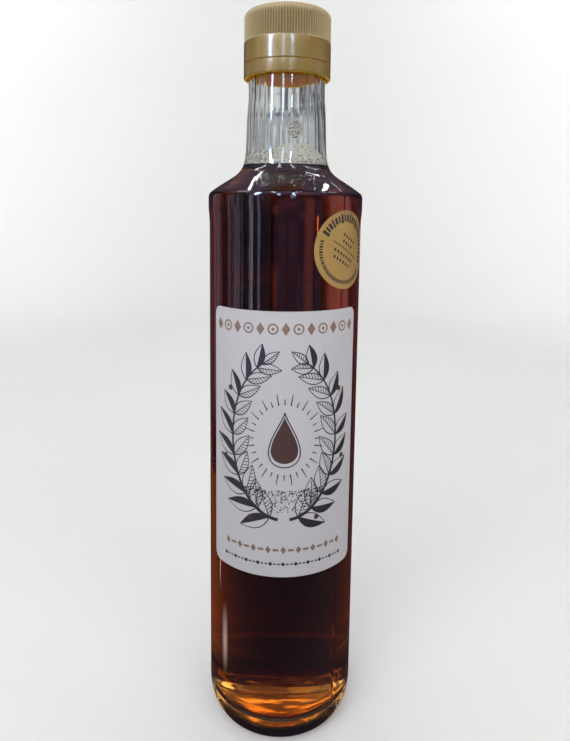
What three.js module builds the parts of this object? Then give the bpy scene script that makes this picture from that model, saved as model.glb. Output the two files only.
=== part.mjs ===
// A sealed round bottle of maple syrup, in millimetres.
// It stands on the origin with +Z up and its front towards -Y.
// Clear glass holds the syrup and a collar of foam, a ribbed cap and its tamper ring close the mouth,
// and a paper label and a round foil seal are stuck on the body.

import * as THREE from "three";

// Glass
const BODY_RADIUS = 30;
const WALL = 2.6;
const PUNT_RADIUS = 20;
const PUNT_RISE = 3.5;
const HEEL = { width: 6, height: 12 };
const PANEL_TOP = 209.5;
const BEAD = { proud: 0.4, low: 211.5, high: 214.2, corner: 3, sweep: 40 };
const SHOULDER = { radius: 29.35, z: 216.4, pullRadius: 19.5, pullZ: 223.9 };
const NECK = { radius: 15.7, z: 234.5, pullRadius: 16.1, pullZ: 221.9 };
const THROAT = { radius: 14.8, lowRadius: 15.45, low: 243.5, midRadius: 15.15, mid: 248, high: 252.5 };
const LIP = { z: 281.9, round: 1.1 };
const BORE = { radius: 12.4, low: 230.5 };
const FLOOR = { z: 6.6, crown: 1.6, halfwayCrown: 1.1, corner: 9 };

// Contents
const SYRUP_LEVEL = 226.8;
const FOAM = { top: 232.6, swell: 2.1, swellAngle: 18, ripple: 0.3, rippleLength: 7, rings: 4 };
const CLEARANCE = 0.3;

// Closure
const CAP = { radius: 16.8, low: 264.8, top: 284, wall: 1.2, panel: 1.6, edge: 2 };
const RIB = { count: 100, depth: 0.45, low: 272.6, high: 281.6, run: 0.4 };
const RING = { low: 259.4, high: 264.35, beadHeight: 1.2, beadGap: 0.35 };

// Stickers, each wrapped on the body at an angle from the front
const LABEL = { width: 63.5, height: 101.6, corner: 3.2, z: 122.6, angle: 1.5, columns: 28 };
const SEAL = { width: 29, height: 29, corner: 14.2, z: 195.2, angle: 48, columns: 22 };
const STICKER = { gap: 0.15, thickness: 0.2 };

const ROUND_STEPS = 64;
const CURVE_STEPS = 6;

const MATERIALS = {
  glass: { color: 0xe9efec, roughness: 0.03, metalness: 0, transparent: true, opacity: 0.35 },
  syrup: { color: 0x4a1408, roughness: 0.05, metalness: 0 },
  foam: { color: 0xc9c4ae, roughness: 0.6, metalness: 0 },
  cap: { color: 0x9a7c42, roughness: 0.38, metalness: 0.15 },
  label: { color: 0xd2cfd0, roughness: 0.75, metalness: 0 },
  seal: { color: 0xb8923f, roughness: 0.35, metalness: 0.6 },
};

const bottle = new THREE.Group();

function addNode(name, geometry, material) {
  const mesh = new THREE.Mesh(geometry, new THREE.MeshStandardMaterial(material));
  mesh.name = name;
  bottle.add(mesh);
}

// Profiles are lists of points whose x is the radius and y the height

const at = (radius, z) => new THREE.Vector2(radius, z);

function ellipseArc(centre, width, height, fromDegrees, toDegrees, steps) {
  const from = THREE.MathUtils.degToRad(fromDegrees);
  const to = THREE.MathUtils.degToRad(toDegrees);
  return new THREE.EllipseCurve(centre.x, centre.y, width, height, from, to, to < from).getPoints(steps);
}

// Moves a profile that runs upwards sideways by a distance, towards the axis
function inset(points, distance) {
  return points.map((point, i) => {
    const before = points[Math.max(i - 1, 0)];
    const after = points[Math.min(i + 1, points.length - 1)];
    const along = after.clone().sub(before).normalize();
    return at(point.x - along.y * distance, point.y + along.x * distance);
  });
}

function turned(profile, steps = ROUND_STEPS) {
  return new THREE.LatheGeometry(profile, steps).rotateX(Math.PI / 2);
}

// Shapes that the glass shares with its contents

// The concave shoulder, from the bead's rounded corner up to the neck
function shoulderProfile() {
  const cornerCentre = at(BODY_RADIUS + BEAD.proud - BEAD.corner, BEAD.high);
  const corner = ellipseArc(cornerCentre, BEAD.corner, BEAD.corner, 0, BEAD.sweep, 2);
  const sweep = new THREE.CubicBezierCurve(
    at(SHOULDER.radius, SHOULDER.z),
    at(SHOULDER.pullRadius, SHOULDER.pullZ),
    at(NECK.pullRadius, NECK.pullZ),
    at(NECK.radius, NECK.z),
  ).getPoints(CURVE_STEPS + 2);
  return [...corner, ...sweep];
}

// The cavity from the middle of its floor up to where the bore runs straight, shrunk by a clearance
function cavityProfile(clearance) {
  const radius = BODY_RADIUS - WALL;
  const floor = [
    at(0, FLOOR.z + FLOOR.crown),
    at((radius - FLOOR.corner) / 2, FLOOR.z + FLOOR.halfwayCrown),
  ];
  const corner = ellipseArc(
    at(radius - FLOOR.corner, FLOOR.z + FLOOR.corner), FLOOR.corner, FLOOR.corner, -90, 0, CURVE_STEPS,
  );
  const shoulder = inset(shoulderProfile(), WALL).filter((p) => p.x > BORE.radius + CLEARANCE && p.x < radius);
  const profile = [...floor, ...corner, at(radius, PANEL_TOP), ...shoulder, at(BORE.radius, BORE.low)];
  const shrunk = inset(profile, clearance);
  shrunk[0].x = 0;
  return shrunk;
}

function glassGeometry() {
  const punt = ellipseArc(at(0, 0), PUNT_RADIUS, PUNT_RISE, 90, 0, 4);
  punt[0].x = 0;
  const heelCentre = at(BODY_RADIUS - HEEL.width, HEEL.height);
  const heel = ellipseArc(heelCentre, HEEL.width, HEEL.height, -90, 0, CURVE_STEPS);
  const bead = [at(BODY_RADIUS, PANEL_TOP), at(BODY_RADIUS + BEAD.proud, BEAD.low)];
  const throat = [
    at(THROAT.lowRadius, THROAT.low),
    at(THROAT.midRadius, THROAT.mid),
    at(THROAT.radius, THROAT.high),
  ];
  const lipMiddle = LIP.z - LIP.round;
  const lip = [
    ...ellipseArc(at(THROAT.radius - LIP.round, lipMiddle), LIP.round, LIP.round, 0, 90, 3),
    at(BORE.radius, LIP.z),
  ];
  const cavity = cavityProfile(0).reverse();
  return turned([...punt, ...heel, ...bead, ...shoulderProfile(), ...throat, ...lip, ...cavity]);
}

function syrupGeometry() {
  const wall = cavityProfile(CLEARANCE).filter((point) => point.y < SYRUP_LEVEL - CLEARANCE);
  return turned([...wall, at(BORE.radius - CLEARANCE, SYRUP_LEVEL), at(0, SYRUP_LEVEL)]);
}

// Foam is a short plug whose top swells towards one side of the front
function foamGeometry() {
  const radius = BORE.radius - CLEARANCE;
  const profile = [at(0, SYRUP_LEVEL + CLEARANCE), at(radius, SYRUP_LEVEL + CLEARANCE)];
  for (let ring = 0; ring <= FOAM.rings; ring++) {
    profile.push(at(radius * (1 - ring / FOAM.rings), FOAM.top));
  }
  const geometry = turned(profile, ROUND_STEPS / 2);
  const swellAngle = THREE.MathUtils.degToRad(FOAM.swellAngle);
  const waves = (2 * Math.PI) / FOAM.rippleLength;
  const position = geometry.getAttribute("position");
  for (let i = 0; i < position.count; i++) {
    const onTop = position.getZ(i) > (FOAM.top + SYRUP_LEVEL) / 2;
    if (!onTop) continue;
    const x = position.getX(i);
    const y = position.getY(i);
    const forwards = (x * Math.sin(swellAngle) - y * Math.cos(swellAngle)) / radius;
    const swell = (FOAM.swell * (forwards + forwards * forwards)) / 2;
    position.setZ(i, FOAM.top + swell + FOAM.ripple * Math.sin(waves * x) * Math.cos(waves * y));
  }
  return geometry;
}

// The cap is turned as a cup, then every second column of its ribbed band is drawn in
function capGeometry() {
  const inner = CAP.radius - CAP.wall;
  const under = CAP.top - CAP.panel;
  const edge = ellipseArc(at(CAP.radius - CAP.edge, CAP.top - CAP.edge), CAP.edge, CAP.edge, 0, 90, 2);
  const profile = [
    at(0, under),
    at(inner, under),
    at(inner, CAP.low),
    at(CAP.radius, CAP.low),
    at(CAP.radius, RIB.low),
    at(CAP.radius, RIB.low + RIB.run),
    at(CAP.radius, RIB.high),
    ...edge,
    at(0, CAP.top),
  ];
  const geometry = turned(profile, RIB.count * 2);
  const position = geometry.getAttribute("position");
  for (let i = 0; i < position.count; i++) {
    const column = Math.floor(i / profile.length);
    const z = position.getZ(i);
    const radius = Math.hypot(position.getX(i), position.getY(i));
    const onBand = z > RIB.low + RIB.run / 2 && z < RIB.high + RIB.run / 2;
    const outside = radius > inner + CAP.wall / 2;
    const valley = column % 2 === 1;
    if (!(onBand && outside && valley)) continue;
    const drawn = (radius - RIB.depth) / radius;
    position.setXY(i, position.getX(i) * drawn, position.getY(i) * drawn);
  }
  return geometry;
}

// The tamper ring grips the neck by a bead round its upper inside edge
function ringGeometry() {
  const inner = CAP.radius - CAP.wall;
  const grip = THROAT.radius + RING.beadGap;
  const profile = [
    at(inner, RING.low),
    at(CAP.radius, RING.low),
    at(CAP.radius, RING.high),
    at(grip, RING.high),
    at(grip, RING.high - RING.beadHeight),
    at(inner, RING.high - 2 * RING.beadHeight),
  ];
  return turned([...profile, profile[0].clone()]);
}

// A sticker is a thin plate with round corners, bent round the body
function stickerGeometry({ width, height, corner, z, angle, columns }) {
  const geometry = new THREE.BoxGeometry(2, 2, STICKER.thickness, columns, 1, 1);
  const position = geometry.getAttribute("position");
  const halfWidth = width / 2;
  const halfHeight = height / 2;
  const middle = BODY_RADIUS + STICKER.gap + STICKER.thickness / 2;
  const turn = THREE.MathUtils.degToRad(angle);
  for (let i = 0; i < position.count; i++) {
    const across = halfWidth * Math.sin((position.getX(i) * Math.PI) / 2);
    const intoCorner = Math.max(Math.abs(across) - (halfWidth - corner), 0);
    const cut = corner - Math.sqrt(Math.max(corner * corner - intoCorner * intoCorner, 0));
    const radius = middle + position.getZ(i);
    const around = turn + across / BODY_RADIUS;
    const up = z + Math.sign(position.getY(i)) * (halfHeight - cut);
    position.setXYZ(i, radius * Math.sin(around), -radius * Math.cos(around), up);
  }
  return geometry;
}

addNode("bottle", glassGeometry(), MATERIALS.glass);
addNode("syrup", syrupGeometry(), MATERIALS.syrup);
addNode("foam", foamGeometry(), MATERIALS.foam);
addNode("cap", capGeometry(), MATERIALS.cap);
addNode("tamper_ring", ringGeometry(), MATERIALS.cap);
addNode("label", stickerGeometry(LABEL), MATERIALS.label);
addNode("seal", stickerGeometry(SEAL), MATERIALS.seal);

export default bottle;
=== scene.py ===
import bpy
import random
from math import atan2, cos, exp, hypot, pi, radians, sin, sqrt
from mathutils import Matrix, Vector


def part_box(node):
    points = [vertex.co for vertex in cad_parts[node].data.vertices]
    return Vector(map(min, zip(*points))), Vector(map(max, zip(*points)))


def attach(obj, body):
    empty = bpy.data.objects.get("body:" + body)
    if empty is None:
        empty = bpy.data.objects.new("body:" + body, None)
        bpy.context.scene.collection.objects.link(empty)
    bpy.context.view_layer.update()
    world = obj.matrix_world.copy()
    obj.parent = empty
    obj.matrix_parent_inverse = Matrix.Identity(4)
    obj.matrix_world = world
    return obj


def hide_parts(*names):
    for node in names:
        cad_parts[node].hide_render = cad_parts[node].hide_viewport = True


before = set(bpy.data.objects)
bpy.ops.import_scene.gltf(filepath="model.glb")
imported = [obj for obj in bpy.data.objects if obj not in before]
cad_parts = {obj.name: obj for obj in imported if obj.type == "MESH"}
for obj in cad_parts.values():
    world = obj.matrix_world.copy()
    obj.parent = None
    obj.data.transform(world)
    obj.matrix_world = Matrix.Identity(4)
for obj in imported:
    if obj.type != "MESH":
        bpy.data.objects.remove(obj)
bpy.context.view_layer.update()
mm = 0.001
fullTurn = 2 * pi
dice = random.Random(41)


def inMetres(value):
    return tuple(inMetres(part) for part in value) if isinstance(value, tuple) else value * mm


def lengths(**values):  # a piece's measures, given in millimetres
    return {name: inMetres(value) for name, value in values.items()}


# Modelling helpers

def objectMode():
    bpy.ops.object.mode_set(mode="OBJECT")


def editMode():
    bpy.ops.object.mode_set(mode="EDIT")


def pickPiece(obj):
    bpy.ops.object.select_all(action="DESELECT")
    obj.select_set(True)
    bpy.context.view_layer.objects.active = obj


def startPiece(name, primitive, **values):
    primitive(**values)
    obj = bpy.context.object
    obj.name = obj.data.name = name
    return obj


def selectAll():  # in edit mode
    bpy.ops.mesh.select_all(action="SELECT")


def closeSeams():  # in edit mode
    selectAll()
    bpy.ops.mesh.remove_doubles(threshold=0.004 * mm)
    bpy.ops.mesh.normals_make_consistent(inside=False)


def pickVerts(obj, test):  # selects by place, in edit mode
    bpy.ops.mesh.select_all(action="DESELECT")
    bpy.ops.mesh.select_mode(type="VERT")
    objectMode()
    for v in obj.data.vertices:
        v.select = test(v.co)
    editMode()


def turnPiece(name, profile, steps, sweep=fullTurn):  # one point drawn along (radius, height), then spun
    obj = startPiece(name, bpy.ops.mesh.primitive_plane_add, size=mm)
    editMode()
    selectAll()
    bpy.ops.mesh.merge(type="CENTER")
    bpy.ops.transform.translate(value=(profile[0][0], 0, profile[0][1]))
    for (r0, z0), (r1, z1) in zip(profile, profile[1:]):
        bpy.ops.mesh.extrude_vertices_move(TRANSFORM_OT_translate={"value": (r1 - r0, 0, z1 - z0)})
    selectAll()
    bpy.ops.mesh.spin(steps=steps, angle=sweep, center=(0, 0, 0), axis=(0, 0, 1))
    closeSeams()
    objectMode()
    return obj


def copyRound(count):  # in edit mode, spreads copies of what is selected round the axis
    copies = count - 1
    angle = fullTurn / count * copies
    bpy.ops.mesh.spin(steps=copies, dupli=True, angle=angle, center=(0, 0, 0), axis=(0, 0, 1))


def smoothPiece(obj, degrees=35):
    pickPiece(obj)
    bpy.ops.object.shade_smooth_by_angle(angle=radians(degrees))
    return obj


def addObject(data):
    obj = bpy.data.objects.new(data.name, data)
    bpy.context.collection.objects.link(obj)
    return obj


def meshPiece(name, verts, faces):  # many small shapes joined from arrays
    data = bpy.data.meshes.new(name)
    data.from_pydata(verts, [], faces)
    data.update()
    return addObject(data)


def dress(obj, material, node=None):
    obj.data.materials.append(material)
    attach(obj, "root")
    if node:
        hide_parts(node)


def reachOf(co):  # distance from the axis
    return hypot(co.x, co.y)


def angleOf(co):  # from the front towards the right
    return atan2(co.x, -co.y)


def atAngle(reach, angle, height):
    return reach * sin(angle), -reach * cos(angle), height


def looksOut(face):  # how far a face looks away from the axis
    return (face.normal.x * face.center.x + face.normal.y * face.center.y) / reachOf(face.center)


def moveOut(v, scale):
    v.co.x *= scale
    v.co.y *= scale


def arcPoints(centre, width, height, start, end, steps):  # degrees
    angles = [radians(start + (end - start) * i / steps) for i in range(steps + 1)]
    return [(centre[0] + width * cos(a), centre[1] + height * sin(a)) for a in angles]


def runPoints(start, end, steps):  # a straight run, without its first point
    return [
        (start[0] + (end[0] - start[0]) * i / steps, start[1] + (end[1] - start[1]) * i / steps)
        for i in range(1, steps + 1)
    ]


def curvePoints(p0, p1, p2, p3, steps):  # a Bezier curve
    points = []
    for i in range(steps + 1):
        t = i / steps
        weights = ((1 - t) ** 3, 3 * t * (1 - t) ** 2, 3 * t * t * (1 - t), t ** 3)
        points.append(tuple(sum(w * p[k] for w, p in zip(weights, (p0, p1, p2, p3))) for k in (0, 1)))
    return points


def insetPoints(points, distance):  # moves an upward run towards the axis
    moved = []
    for i, (r, z) in enumerate(points):
        before, after = points[max(i - 1, 0)], points[min(i + 1, len(points) - 1)]
        dr, dz = after[0] - before[0], after[1] - before[1]
        length = hypot(dr, dz)
        moved.append((r - dz / length * distance, z + dr / length * distance))
    return moved


def wrapRound(obj, radius, turn, height):  # bends a flat piece round the bottle
    for v in obj.data.vertices:
        v.co = atAngle(radius + v.co.z, turn + v.co.x / radius, height + v.co.y)
    obj.data.update()


def cutColumns(obj, width, columns):  # slices a flat piece so that it can bend
    pickPiece(obj)
    editMode()
    for i in range(1, columns):
        selectAll()
        bpy.ops.mesh.bisect(plane_co=(width * (i / columns - 0.5), 0, 0), plane_no=(1, 0, 0))
    objectMode()


# Node helpers

def newMaterial(name):
    material = bpy.data.materials.new(name)
    material.use_nodes = True
    tree = material.node_tree
    return material, tree, tree.nodes["Principled BSDF"]


def setFinish(shader, finish):  # plain values on the shader's own sockets
    for key, value in finish.items():
        shader.inputs[key].default_value = value


def addNode(tree, kind, **values):
    node = tree.nodes.new(kind)
    for key, value in values.items():
        if key in node.inputs:
            node.inputs[key].default_value = value
        else:
            setattr(node, key, value)
    return node


def link(output, socket):
    output.id_data.links.new(output, socket)


def feed(value, socket):  # a link or a plain value
    if isinstance(value, bpy.types.NodeSocket):
        link(value, socket)
    else:
        socket.default_value = value


def mathNode(operation, *values):  # more than two values are taken one after the other
    result = values[0]
    for value in values[1:]:
        node = addNode(result.id_data, "ShaderNodeMath", operation=operation)
        link(result, node.inputs[0])
        feed(value, node.inputs[1])
        result = node.outputs[0]
    return result


def mixColours(factor, dark, light):
    node = addNode(factor.id_data, "ShaderNodeMix", data_type="RGBA")
    link(factor, node.inputs["Factor"])
    for socket, colour in zip(node.inputs[6:8], (dark, light)):
        feed(colour if isinstance(colour, bpy.types.NodeSocket) else (*colour, 1), socket)
    return node.outputs[2]


def mixShaders(factor, first, second):
    node = addNode(factor.id_data, "ShaderNodeMixShader")
    for output, socket in zip((factor, first.outputs[0], second.outputs[0]), node.inputs):
        link(output, socket)
    return node.outputs[0]


def rampNode(value, low, high, start=0.0, end=1.0, kind="SMOOTHSTEP"):  # eases from one value to another
    node = addNode(value.id_data, "ShaderNodeMapRange", interpolation_type=kind)
    setFinish(node, {"From Min": low, "From Max": high, "To Min": start, "To Max": end})
    link(value, node.inputs["Value"])
    return node.outputs["Result"]


def placeNode(tree, kind="Object"):  # the place, and its x, y and z
    place = tree.nodes.new("ShaderNodeTexCoord").outputs[kind]
    parts = tree.nodes.new("ShaderNodeSeparateXYZ")
    link(place, parts.inputs[0])
    return place, parts.outputs


def noiseNode(place, scale, **values):
    size = addNode(place.id_data, "ShaderNodeMapping", Scale=scale)
    noise = addNode(place.id_data, "ShaderNodeTexNoise", Scale=1.0, **values)
    link(place, size.inputs["Vector"])
    link(size.outputs["Vector"], noise.inputs["Vector"])
    return noise.outputs["Fac"]


def bumpFrom(height, strength, distance, shader):
    node = addNode(shader.id_data, "ShaderNodeBump", Strength=strength, Distance=distance)
    link(height, node.inputs["Height"])
    link(node.outputs["Normal"], shader.inputs["Normal"])


def makeGrainGroup():  # fine and broad unevenness that most finishes share
    group = bpy.data.node_groups.new("surfaceGrain", "ShaderNodeTree")
    for side, names in (("INPUT", ("Fine Scale", "Broad Scale", "Stretch")), ("OUTPUT", ("Fine", "Broad"))):
        for name in names:
            group.interface.new_socket(name, in_out=side, socket_type="NodeSocketFloat")
    inside = group.nodes.new("NodeGroupInput")
    outside = group.nodes.new("NodeGroupOutput")
    place = group.nodes.new("ShaderNodeTexCoord")
    stretch = addNode(group, "ShaderNodeCombineXYZ", X=1, Y=1)
    link(inside.outputs["Stretch"], stretch.inputs["Z"])
    scaled = addNode(group, "ShaderNodeVectorMath", operation="MULTIPLY")
    link(place.outputs["Object"], scaled.inputs[0])
    link(stretch.outputs["Vector"], scaled.inputs[1])
    for name in ("Fine", "Broad"):
        noise = addNode(group, "ShaderNodeTexNoise", Detail=3.0)
        link(scaled.outputs["Vector"], noise.inputs["Vector"])
        link(inside.outputs[name + " Scale"], noise.inputs["Scale"])
        link(noise.outputs["Fac"], outside.inputs[name])
    return group


grainGroup = makeGrainGroup()


def addGrain(tree, fine, broad, stretch=1.0):
    node = addNode(tree, "ShaderNodeGroup", node_tree=grainGroup)
    setFinish(node, {"Fine Scale": fine, "Broad Scale": broad, "Stretch": stretch})
    return node.outputs["Fine"], node.outputs["Broad"]


# A finish of two close colours: fineShare says how far the fine grain, not the broad one, mixes them
def grainyMaterial(name, grain, fineShare, dark, light, finish, bump=None, roughness=None):
    material, tree, shader = newMaterial(name)
    fine, broad = addGrain(tree, *grain)
    tone = fine if fineShare else broad
    if 0 < fineShare < 1:
        tone = mathNode("ADD", mathNode("MULTIPLY", fine, fineShare),
                        mathNode("MULTIPLY", broad, 1 - fineShare))
    link(mixColours(tone, dark, light), shader.inputs["Base Color"])
    setFinish(shader, finish)
    if roughness:
        link(rampNode(fine, 0.0, 1.0, *roughness, "LINEAR"), shader.inputs["Roughness"])
    if bump:
        bumpFrom(fine, *bump, shader)
    return material


# Camera, at the height of the shoulder and looking a little down
camera = {
    "place": (0.25 * mm, -242.9 * mm, 208.1 * mm),
    "pitch": 7.15,
    "roll": 0.72,
    "lens": 29.3,
    "shiftUp": -0.1093,
}


def makeCamera():
    data = bpy.data.cameras.new("camera")
    data.lens = camera["lens"]
    data.shift_y = camera["shiftUp"]
    data.clip_start = 0.01
    obj = addObject(data)
    obj.location = camera["place"]
    obj.rotation_mode = "ZYX"
    obj.rotation_euler = (radians(90 - camera["pitch"]), 0, radians(camera["roll"]))
    bpy.context.scene.camera = obj


makeCamera()
print("camera placed")

# Glass bottle
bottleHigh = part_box("bottle")[1]
glass = lengths(
    wall=2.6, puntRadius=20, puntRise=3.5, heelWidth=6, heelHeight=12, panelTop=203.5,
    beadLow=211.5, beadHigh=214.2, beadCorner=3, beadEase=4,  # how softly the bead grows out of the panel
    shoulder=((29.35, 216.4), (19.5, 223.9), (16.1, 221.9), (15.7, 234.5)),
    throat=((15.45, 243.5), (15.15, 248), (14.8, 252.5)),
    lipRound=1.1, boreRadius=12.4, floor=6.6, floorCrown=1.6, floorCorner=9,
    seamWidth=0.34, seamRise=0.2,
    rippleLow=231, rippleHigh=268, ripple=0.04, outerRipple=0.009,
    marksLow=217.8, marksHigh=222.9, marksHalfWidth=9,  # low moulded marks on the shoulder's front
    markLength=(0.5, 1.0), markWidth=0.32, markRise=0.2,
) | {
    "beadRadius": bottleHigh.x, "bodyRadius": bottleHigh.x - 0.4 * mm, "lipHeight": bottleHigh.z,
    "steps": 160, "rippleWaves": 9, "marks": 50, "markCuts": 6,
    "marksSlope": 1.75,  # the slope is longer than it is high
    "seamAngle": radians(45), "seamHalfAngle": radians(0.4),  # the other seam is opposite
    "colour": (0.955, 0.975, 0.968), "ior": 1.5,
}

beadMiddle = (glass["beadRadius"] - glass["beadCorner"], glass["beadHigh"])
beadTop = arcPoints(beadMiddle, glass["beadCorner"], glass["beadCorner"], 0, 40, 6)
shoulderRun = beadTop + curvePoints(*glass["shoulder"], 24)
neckRun = []  # above the shoulder
for start, end in zip(glass["shoulder"][-1:] + glass["throat"], glass["throat"]):
    neckRun += runPoints(start, end, 4)
upperOutside = shoulderRun + neckRun


def cavityPoints():  # from the middle of the floor up to the straight bore
    radius = glass["bodyRadius"] - glass["wall"]
    corner = glass["floorCorner"]
    crown = [
        (r, glass["floor"] + glass["floorCrown"] * (0.5 + 0.5 * cos(pi * r / (radius - corner))))
        for r in [(radius - corner) * i / 8 for i in range(8)]
    ]
    bend = arcPoints((radius - corner, glass["floor"] + corner), corner, corner, -90, 0, 14)
    inner = [p for p in insetPoints(shoulderRun, glass["wall"]) if p[0] < radius - 0.05 * mm]
    low, high = glass["shoulder"][-1][1], glass["throat"][0][1]
    neckWall = glass["throat"][-1][0] - glass["boreRadius"]
    for r, z in neckRun:
        thicker = max(0, (high - z) / (high - low)) * (glass["wall"] - neckWall)
        inner.append((r - neckWall - thicker, z))
    return crown + bend + [(radius, glass["panelTop"])] + inner


cavity = cavityPoints()


def innerRadius(z):  # of the cavity at a height
    for (r0, z0), (r1, z1) in zip(cavity, cavity[1:]):
        if z0 <= z <= z1 and z1 > z0:
            return r0 + (r1 - r0) * (z - z0) / (z1 - z0)
    return glass["boreRadius"]


def insideReach(z):  # a radius between the inner and the outer wall at a height
    if z < upperOutside[0][1]:
        return glass["bodyRadius"] - glass["wall"] / 2
    return min(upperOutside, key=lambda p: abs(p[1] - z))[0] - glass["wall"] / 2


def makeBottle():
    punt = arcPoints((0, 0), glass["puntRadius"], glass["puntRise"], 90, 0, 12)
    punt[0] = (0, punt[0][1])
    body, wide = glass["bodyRadius"], glass["beadRadius"]
    low, high, ease = glass["panelTop"], glass["beadLow"], glass["beadEase"]
    heelMiddle = (body - glass["heelWidth"], glass["heelHeight"])
    heel = arcPoints(heelMiddle, glass["heelWidth"], glass["heelHeight"], -90, 0, 16)
    panel = runPoints(heel[-1], (body, low), 6)
    bead = curvePoints(panel[-1], (body, low + ease), (wide, high - ease), (wide, high), 8)[1:]
    lipMiddle = (glass["throat"][-1][0] - glass["lipRound"], glass["lipHeight"] - glass["lipRound"])
    lip = arcPoints(lipMiddle, glass["lipRound"], glass["lipRound"], 0, 90, 6)
    bore = [(glass["boreRadius"], glass["lipHeight"])]
    bore += runPoints(bore[0], cavity[-1], 8)[:-1]
    profile = punt + heel + panel + bead + upperOutside + lip + bore + cavity[::-1]
    obj = turnPiece("glass_bottle", profile, glass["steps"])
    raiseSeams(obj)
    rippleNeck(obj)
    raiseMarks(obj)
    return smoothPiece(obj, 40)


def raiseSeams(obj):  # the two fine lines that the mould leaves up the sides
    low, high = glass["heelHeight"] - mm, glass["throat"][-1][1] + mm

    def onSeam(co):
        off = abs((angleOf(co) - glass["seamAngle"] + pi / 2) % pi - pi / 2)
        return off < glass["seamHalfAngle"] and low < co.z < high and reachOf(co) > insideReach(co.z)

    pickPiece(obj)
    editMode()
    pickVerts(obj, onSeam)
    bpy.ops.mesh.bevel(offset=glass["seamWidth"], segments=2, affect="EDGES")
    pickVerts(obj, onSeam)
    bpy.ops.transform.shrink_fatten(value=glass["seamRise"])
    objectMode()


def rippleNeck(obj):  # uneven glass inside the neck, so that what is behind it breaks into streaks
    waves = [
        (dice.randint(5, 34), dice.uniform(0, fullTurn), dice.uniform(-90, 90))
        for _ in range(glass["rippleWaves"])
    ]
    for v in obj.data.vertices:
        if not glass["rippleLow"] < v.co.z < glass["rippleHigh"]:
            continue
        radius, angle = reachOf(v.co), angleOf(v.co)
        depth = glass["ripple"] if radius < insideReach(v.co.z) else glass["outerRipple"]
        swell = sum(sin(n * angle + phase + lean * v.co.z) for n, phase, lean in waves)
        moveOut(v, 1 + depth * swell / radius)
    obj.data.update()


def raiseMarks(obj):  # short strokes of relief, on faces cut fine enough for them
    low, high, half = glass["marksLow"], glass["marksHigh"], glass["marksHalfWidth"]
    slope = glass["marksSlope"]
    fineShoulder = curvePoints(*glass["shoulder"], 240)
    spots = random.Random(7)
    marks = []
    for _ in range(glass["marks"]):
        lean = spots.uniform(0, pi)
        place = (spots.uniform(-half, half), spots.uniform(low, high) * slope)
        marks.append((*place, cos(lean), sin(lean), spots.uniform(*glass["markLength"])))

    def onFront(co, room):
        near = low - room < co.z < high + room and abs(co.x) < half + room
        return near and co.y < 0 and reachOf(co) > insideReach(co.z)

    pickPiece(obj)
    editMode()
    pickVerts(obj, lambda co: onFront(co, 2 * mm))
    bpy.ops.mesh.subdivide(number_cuts=glass["markCuts"])
    objectMode()
    for v in obj.data.vertices:
        if not onFront(v.co, 1.9 * mm):
            continue
        radius = next(r for r, z in fineShoulder if z >= v.co.z)
        rise = 0
        for x, up, c, s, length in marks:
            dx, dy = v.co.x - x, v.co.z * slope - up
            along, across = (dx * c + dy * s) / length, (dy * c - dx * s) / glass["markWidth"]
            rise = max(rise, exp(-along * along - across * across))
        moveOut(v, (radius + glass["markRise"] * rise) / reachOf(v.co))
    obj.data.update()


def glassMaterial(name, mirror):
    material, tree, shader = newMaterial(name)
    setFinish(shader, {
        "Specular Tint": (mirror, mirror, mirror, 1), "Base Color": (*glass["colour"], 1),
        "Roughness": 0.015, "IOR": glass["ior"], "Transmission Weight": 1,
    })
    fine, broad = addGrain(tree, 900, 110, 0.06)
    bumpFrom(mathNode("ADD", mathNode("MULTIPLY", fine, 0.25), broad), 0.06, 0.6 * mm, shader)
    return material


def paintWet(obj, level):  # inner faces below the syrup's level mirror nothing
    low = glass["floor"] - 0.5 * mm
    for face in obj.data.polygons:
        middle = face.center
        onFloor = face.normal.z > 0.5 and middle.z < 3 * glass["floor"]
        inside = low < middle.z < level and reachOf(middle) < insideReach(middle.z)
        if inside and (onFloor or looksOut(face) < 0.05):
            face.material_index = 1


bottle = makeBottle()
dress(bottle, glassMaterial("clearGlass", 1.0), "bottle")
bottle.data.materials.append(glassMaterial("wetGlass", 0.0))
print("glass blown:", len(bottle.data.polygons), "faces")

# Syrup, which reaches just into the glass
syrup = {
    "level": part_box("syrup")[1].z,
    "intoWall": 0.12 * mm,
    "steps": 128,
    "ior": 1.46,
    "density": 150.0,  # absorption per metre where the colour is black
    "colour": (0.905, 0.68, 0.25),
}


def makeSyrup():
    wall = [p for p in insetPoints(cavity, -syrup["intoWall"]) if p[1] < syrup["level"] - 0.4 * mm]
    wall[0] = (0, wall[0][1])
    edge = (innerRadius(syrup["level"]) + syrup["intoWall"], syrup["level"])
    obj = turnPiece("maple_syrup", wall + [edge] + runPoints(edge, (0, syrup["level"]), 4), syrup["steps"])
    return smoothPiece(obj, 50)


def syrupMaterial():
    material, tree, shader = newMaterial("mapleSyrup")
    setFinish(shader, {
        "Base Color": (1, 1, 1, 1), "Roughness": 0, "IOR": syrup["ior"], "Transmission Weight": 1,
        "Specular Tint": (0, 0, 0, 1),  # glass wets it, so its skin mirrors nothing
    })
    soak = addNode(tree, "ShaderNodeVolumeAbsorption", Density=syrup["density"])
    setFinish(soak, {"Color": (*syrup["colour"], 1)})
    link(soak.outputs["Volume"], tree.nodes["Material Output"].inputs["Volume"])
    return material


paintWet(bottle, syrup["level"])
dress(makeSyrup(), syrupMaterial(), "syrup")
print("syrup poured")

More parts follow.
